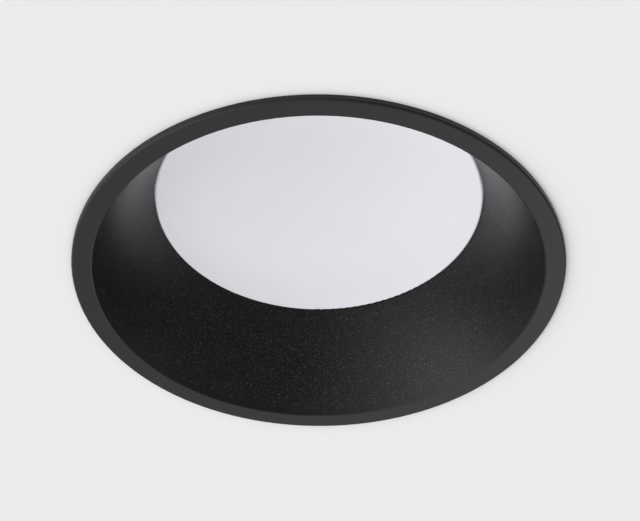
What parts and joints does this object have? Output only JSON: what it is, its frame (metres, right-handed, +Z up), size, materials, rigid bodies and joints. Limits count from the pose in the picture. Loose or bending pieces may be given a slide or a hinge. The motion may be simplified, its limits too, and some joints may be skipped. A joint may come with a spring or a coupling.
{
  "type": "soffit downlight",
  "caption": "Round recessed downlight with a flat flange, conical baffle, opal lens, finned heat sink, cable gland and sprung mounting clips.",
  "frame": {"origin": "centre of the flange's back face, which lies on the soffit", "axes": "+Z up into the soffit along the lamp's axis, +X through the two spring clips; the light leaves towards -Z"},
  "size_m": [0.1702, 0.12, 0.0666],
  "materials": {
    "black_powder_coat": "satin powder coat with a fine grain",
    "black_foam": "closed-cell foam",
    "opal_lens": "opal white, satin",
    "grey_silicone": "moulded silicone",
    "white_reflector": "smooth white moulding",
    "white_board": "white solder mask",
    "led_phosphor": "phosphor yellow",
    "black_chip": "moulded epoxy",
    "thermal_grey": "soft sheet",
    "stainless_screw": "passivated",
    "cast_aluminium": "as cast, blasted",
    "black_rubber": "moulded",
    "black_nylon": "moulded nylon",
    "zinc_sheet": "bright zinc plate",
    "spring_steel": "cold-rolled spring strip",
    "spring_wire": "drawn wire",
    "grey_clip_rubber": "moulded elastomer"
  },
  "bodies": {
    "lamp": {"trim": "black_powder_coat", "soffit_gasket": "black_foam", "diffuser": "opal_lens", "diffuser_seal": "grey_silicone", "mixing_chamber": "white_reflector", "led_board": "white_board", "led_packages": "led_phosphor", "driver_chips": "black_chip", "terminal_block": "white_reflector", "thermal_pad": "thermal_grey", "board_screws": "stainless_screw", "heat_sink": "cast_aluminium", "housing_seal": "grey_silicone", "housing_screws": "stainless_screw", "gland_washer": "black_rubber", "gland_body": "black_nylon", "gland_seal": "black_rubber", "gland_nut": "black_nylon", "bracket_screws": "stainless_screw", "clip_bracket_right": "zinc_sheet", "clip_bracket_left": "zinc_sheet", "clip_spring_right": "spring_wire", "clip_spring_left": "spring_wire", "pivot_pin_right": "stainless_screw", "pivot_pin_left": "stainless_screw", "pin_ring_right": "zinc_sheet", "pin_ring_left": "zinc_sheet"},
    "clip_right": {"clip_arm_right": "spring_steel", "clip_pad_right": "grey_clip_rubber"},
    "clip_left": {"clip_arm_left": "spring_steel", "clip_pad_left": "grey_clip_rubber"}
  },
  "joints": [
    {"name": "clip_right_swing", "type": "hinge", "parent": "lamp", "child": "clip_right", "pos_m": [0.0511, 0, 0.0235], "axis": [0, -1, 0], "range_deg": [0, 120], "stiffness_Nm_per_rad": 0.1, "springref_deg": -57.3, "deforming": ["clip_spring_right"]},
    {"name": "clip_left_swing", "type": "hinge", "parent": "lamp", "child": "clip_left", "pos_m": [-0.0511, 0, 0.0235], "axis": [0, 1, 0], "range_deg": [0, 120], "stiffness_Nm_per_rad": 0.1, "springref_deg": -57.3, "deforming": ["clip_spring_left"]}
  ]
}
